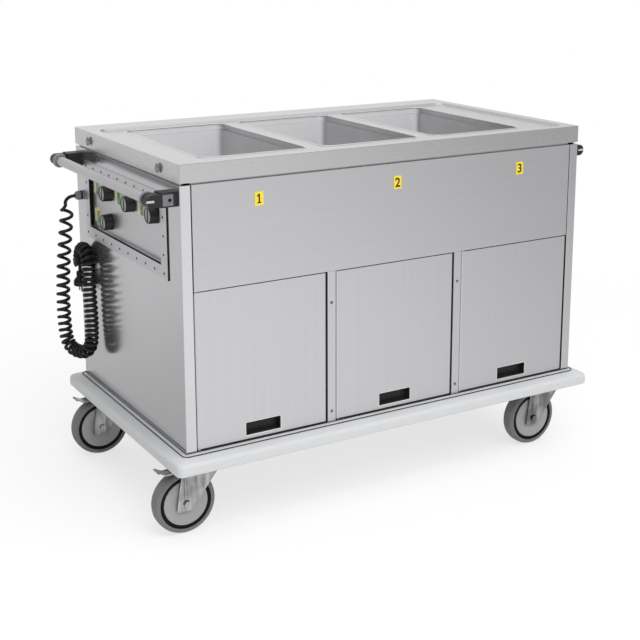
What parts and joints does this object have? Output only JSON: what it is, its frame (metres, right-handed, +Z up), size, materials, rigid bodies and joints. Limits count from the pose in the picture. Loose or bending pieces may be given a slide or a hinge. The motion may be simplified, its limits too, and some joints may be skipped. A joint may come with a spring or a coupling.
{
  "type": "hot food serving trolley",
  "caption": "Hot-food serving trolley: rectangular wells in a steel worktop over hinged cupboards, control end with knobs and coiled lead, push bars, bumper, braked swivel castors.",
  "frame": {"origin": "on the floor, at the middle of the trolley's footprint", "axes": "+X to the right along the front (the cupboard side), +Y to the back, +Z up; the control end faces -X"},
  "size_m": [1.4169, 0.7956, 0.96],
  "materials": {
    "stainless": "fine brushed, satin",
    "heater_casing": "plain, heat-darkened",
    "number_yellow": "printed yellow plate with a black digit",
    "bumper_grey": "satin grey, non-marking",
    "black_plastic": "fine grained black",
    "knob_black": "black, printed face",
    "tag_print": "printed scale",
    "thermostat_body": "plain plated case",
    "bar_satin": "satin grey",
    "collar_grey": "satin grey",
    "zinc": "bright zinc plate",
    "tyre_grey": "grey elastic tyre on a light-grey wheel",
    "pedal_zinc": "bright zinc plate",
    "cord_black": "black rubber-sheathed cable"
  },
  "bodies": {
    "trolley": {"top_slab": "stainless", "well_1": "stainless", "well_2": "stainless", "well_3": "stainless", "side_panel_left": "stainless", "side_panel_right": "stainless", "fascia_front": "stainless", "rear_panel": "stainless", "mullions": "stainless", "liner_1": "stainless", "liner_2": "stainless", "liner_3": "stainless", "base_pan": "stainless", "control_plate": "stainless", "control_box": "stainless", "skirt_studs": "stainless", "hinge_pins": "stainless", "mullion_screws": "stainless", "plate_rivets": "stainless", "drain_fittings": "stainless", "well_heaters": "heater_casing", "number_plates": "number_yellow", "bumper_skirt": "bumper_grey", "door_seals": "black_plastic", "handle_brackets": "black_plastic", "cord_hook": "black_plastic", "cord_gland": "black_plastic", "knob_tags": "tag_print", "thermostats": "thermostat_body", "handle_bar_left": "bar_satin", "handle_bar_right": "bar_satin", "bar_collars": "collar_grey", "bracket_caps": "collar_grey", "castor_mounts": "zinc", "castor_bolts": "zinc", "cord_lead": "cord_black", "cord_coil": "cord_black", "cord_plug": "cord_black"},
    "door_1": {"door_panel_1": "stainless", "door_grip_1": "black_plastic"},
    "door_2": {"door_panel_2": "stainless", "door_grip_2": "black_plastic"},
    "door_3": {"door_panel_3": "stainless", "door_grip_3": "black_plastic"},
    "knob_body_1": {"knob_1": "knob_black"},
    "knob_body_2": {"knob_2": "knob_black"},
    "knob_body_3": {"knob_3": "knob_black"},
    "knob_body_4": {"knob_4": "knob_black"},
    "castor_fl": {"castor_fork_fl": "zinc"},
    "wheel_fl": {"castor_wheel_fl": "tyre_grey"},
    "brake_fl": {"brake_pedal_fl": "pedal_zinc"},
    "castor_fr": {"castor_fork_fr": "zinc"},
    "wheel_fr": {"castor_wheel_fr": "tyre_grey"},
    "brake_fr": {"brake_pedal_fr": "pedal_zinc"},
    "castor_rl": {"castor_fork_rl": "zinc"},
    "wheel_rl": {"castor_wheel_rl": "tyre_grey"},
    "brake_rl": {"brake_pedal_rl": "pedal_zinc"},
    "castor_rr": {"castor_fork_rr": "zinc"},
    "wheel_rr": {"castor_wheel_rr": "tyre_grey"},
    "brake_rr": {"brake_pedal_rr": "pedal_zinc"}
  },
  "joints": [
    {"name": "door_1_hinge", "type": "hinge", "parent": "trolley", "child": "door_1", "pos_m": [-0.582, -0.35, 0.4397], "axis": [0, 0, -1], "range_deg": [0, 100]},
    {"name": "door_2_hinge", "type": "hinge", "parent": "trolley", "child": "door_2", "pos_m": [-0.18, -0.35, 0.4397], "axis": [0, 0, -1], "range_deg": [0, 100]},
    {"name": "door_3_hinge", "type": "hinge", "parent": "trolley", "child": "door_3", "pos_m": [0.222, -0.35, 0.4397], "axis": [0, 0, -1], "range_deg": [0, 100]},
    {"name": "knob_1_turn", "type": "hinge", "parent": "trolley", "child": "knob_body_1", "pos_m": [-0.6105, 0.121, 0.809], "axis": [1, 0, 0], "range_deg": [0, 270]},
    {"name": "knob_2_turn", "type": "hinge", "parent": "trolley", "child": "knob_body_2", "pos_m": [-0.6105, -0.037, 0.809], "axis": [1, 0, 0], "range_deg": [0, 270]},
    {"name": "knob_3_turn", "type": "hinge", "parent": "trolley", "child": "knob_body_3", "pos_m": [-0.6105, -0.195, 0.809], "axis": [1, 0, 0], "range_deg": [0, 270]},
    {"name": "knob_4_turn", "type": "hinge", "parent": "trolley", "child": "knob_body_4", "pos_m": [-0.6105, 0.121, 0.73], "axis": [1, 0, 0], "range_deg": [0, 270]},
    {"name": "swivel_fl", "type": "hinge", "parent": "trolley", "child": "castor_fl", "pos_m": [-0.564, -0.297, 0.175], "axis": [0, 0, 1], "continuous": true},
    {"name": "roll_fl", "type": "hinge", "parent": "castor_fl", "child": "wheel_fl", "pos_m": [-0.606, -0.297, 0.083], "axis": [0, 1, 0], "continuous": true},
    {"name": "pedal_fl", "type": "hinge", "parent": "castor_fl", "child": "brake_fl", "pos_m": [-0.612, -0.297, 0.1745], "axis": [0, -1, 0], "range_deg": [0, 12]},
    {"name": "swivel_fr", "type": "hinge", "parent": "trolley", "child": "castor_fr", "pos_m": [0.564, -0.297, 0.175], "axis": [0, 0, 1], "continuous": true},
    {"name": "roll_fr", "type": "hinge", "parent": "castor_fr", "child": "wheel_fr", "pos_m": [0.522, -0.297, 0.083], "axis": [0, 1, 0], "continuous": true},
    {"name": "pedal_fr", "type": "hinge", "parent": "castor_fr", "child": "brake_fr", "pos_m": [0.516, -0.297, 0.1745], "axis": [0, -1, 0], "range_deg": [0, 12]},
    {"name": "swivel_rl", "type": "hinge", "parent": "trolley", "child": "castor_rl", "pos_m": [-0.564, 0.297, 0.175], "axis": [0, 0, 1], "continuous": true},
    {"name": "roll_rl", "type": "hinge", "parent": "castor_rl", "child": "wheel_rl", "pos_m": [-0.606, 0.297, 0.083], "axis": [0, 1, 0], "continuous": true},
    {"name": "pedal_rl", "type": "hinge", "parent": "castor_rl", "child": "brake_rl", "pos_m": [-0.612, 0.297, 0.1745], "axis": [0, -1, 0], "range_deg": [0, 12]},
    {"name": "swivel_rr", "type": "hinge", "parent": "trolley", "child": "castor_rr", "pos_m": [0.564, 0.297, 0.175], "axis": [0, 0, 1], "continuous": true},
    {"name": "roll_rr", "type": "hinge", "parent": "castor_rr", "child": "wheel_rr", "pos_m": [0.522, 0.297, 0.083], "axis": [0, 1, 0], "continuous": true},
    {"name": "pedal_rr", "type": "hinge", "parent": "castor_rr", "child": "brake_rr", "pos_m": [0.516, 0.297, 0.1745], "axis": [0, -1, 0], "range_deg": [0, 12]}
  ]
}
